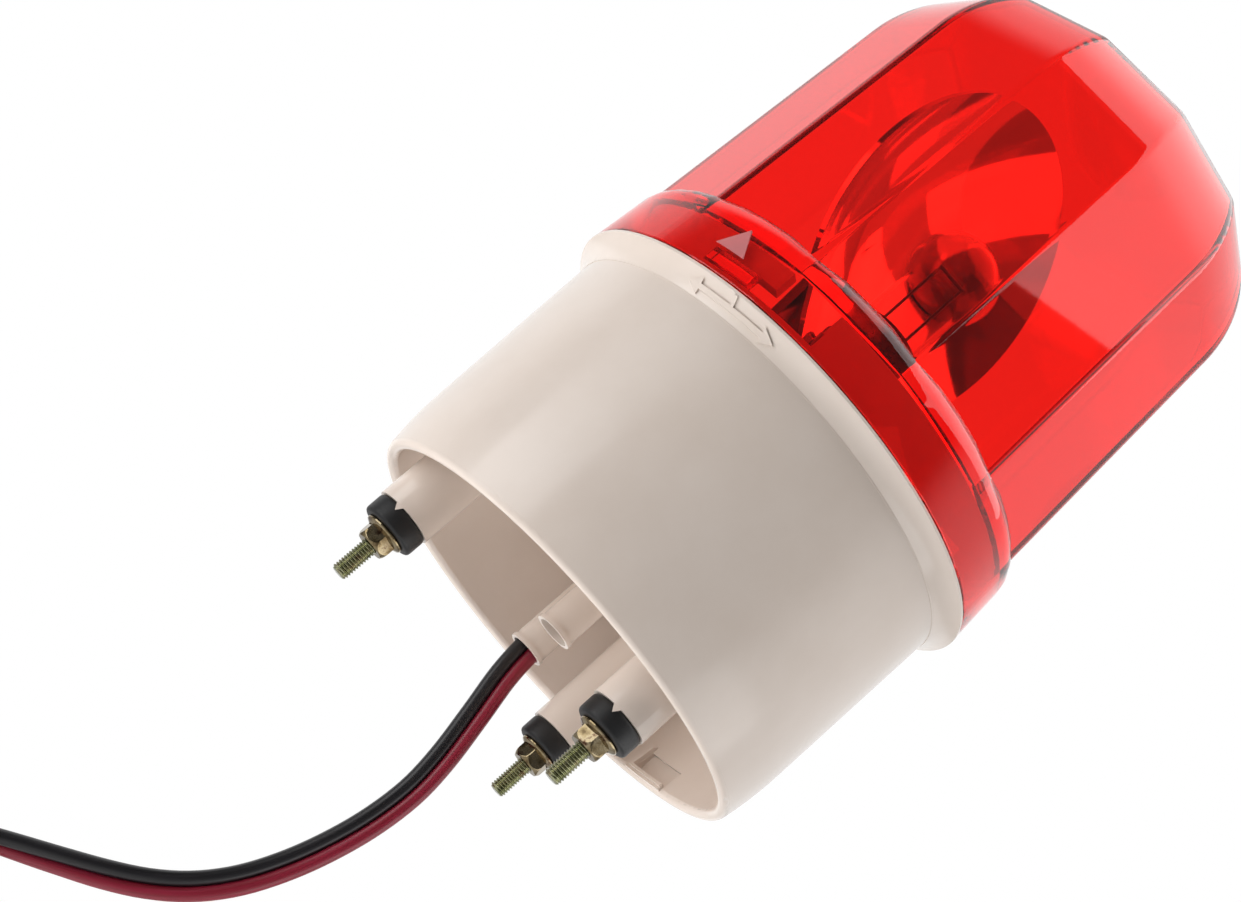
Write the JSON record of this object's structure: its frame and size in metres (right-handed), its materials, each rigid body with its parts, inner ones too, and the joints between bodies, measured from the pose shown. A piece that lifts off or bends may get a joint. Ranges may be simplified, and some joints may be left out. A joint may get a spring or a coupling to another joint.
{
  "type": "rotating warning light",
  "caption": "Rotating warning light: red faceted lens on a round ivory base, a mirror dish turning about a bulb, rubber-cushioned mounting studs and a twin lead.",
  "frame": {"origin": "centre of the stud circle, at the outer faces of the flange nuts, where the free thread starts", "axes": "+Z along the lamp's axis from the studs to the dome, +X from the axis away from the boss at 180 degrees, +Y towards the lead's tube"},
  "size_m": [0.1283, 0.1, 0.3126],
  "materials": {
    "ivory_abs": "moulded, satin",
    "red_lens": "clear red, polished mould",
    "black_rubber": "moulded, matt",
    "yellow_zinc": "yellow-passivated zinc plate",
    "zinc_steel": "bright zinc plate",
    "nickel_brass": "nickel-plated brass",
    "white_acetal": "moulded",
    "phenolic": "punched board",
    "clear_glass": "blown",
    "tungsten": "drawn wire",
    "mirror_plating": "metallised plastic",
    "black_nylon": "moulded",
    "brass": "hobbed",
    "lead_sheath": "extruded PVC, one red and one black core"
  },
  "bodies": {
    "base": {"base_housing": "ivory_abs", "lens_gasket": "black_rubber", "mounting_studs": "yellow_zinc", "stud_washers": "yellow_zinc", "grommets": "black_rubber", "flange_nuts": "yellow_zinc", "chassis_plate": "zinc_steel", "chassis_screws": "zinc_steel", "lamp_socket": "nickel_brass", "thrust_washer": "white_acetal", "retaining_ring": "zinc_steel", "socket_contact": "phenolic", "bulb_cap": "nickel_brass", "bulb_glass": "clear_glass", "bulb_filament": "tungsten", "motor_can": "zinc_steel", "motor_cap": "black_nylon", "motor_screws": "zinc_steel", "connector_block": "black_nylon", "block_screw": "zinc_steel", "lead_stopper": "black_rubber", "lead": "lead_sheath", "lead_coil": "lead_sheath", "coil_tie": "black_nylon"},
    "rotor": {"turntable_gear": "white_acetal", "reflector": "mirror_plating", "reflector_screws": "zinc_steel"},
    "pinion": {"drive_pinion": "brass"},
    "lens_cover": {"lens": "red_lens"}
  },
  "joints": [
    {"name": "reflector_spin", "type": "hinge", "parent": "base", "child": "rotor", "pos_m": [0, 0, 0.07], "axis": [0, 0, 1], "continuous": true},
    {"name": "pinion_spin", "type": "hinge", "parent": "base", "child": "pinion", "pos_m": [0, -0.028, 0.07], "axis": [0, 0, 1], "continuous": true},
    {"name": "lens_twist", "type": "hinge", "parent": "base", "child": "lens_cover", "pos_m": [0, 0, 0.07], "axis": [0, 0, 1], "range_deg": [0, 18]}
  ],
  "couplings": [
    {"joint": "pinion_spin", "follows": "reflector_spin", "ratio": -4}
  ]
}
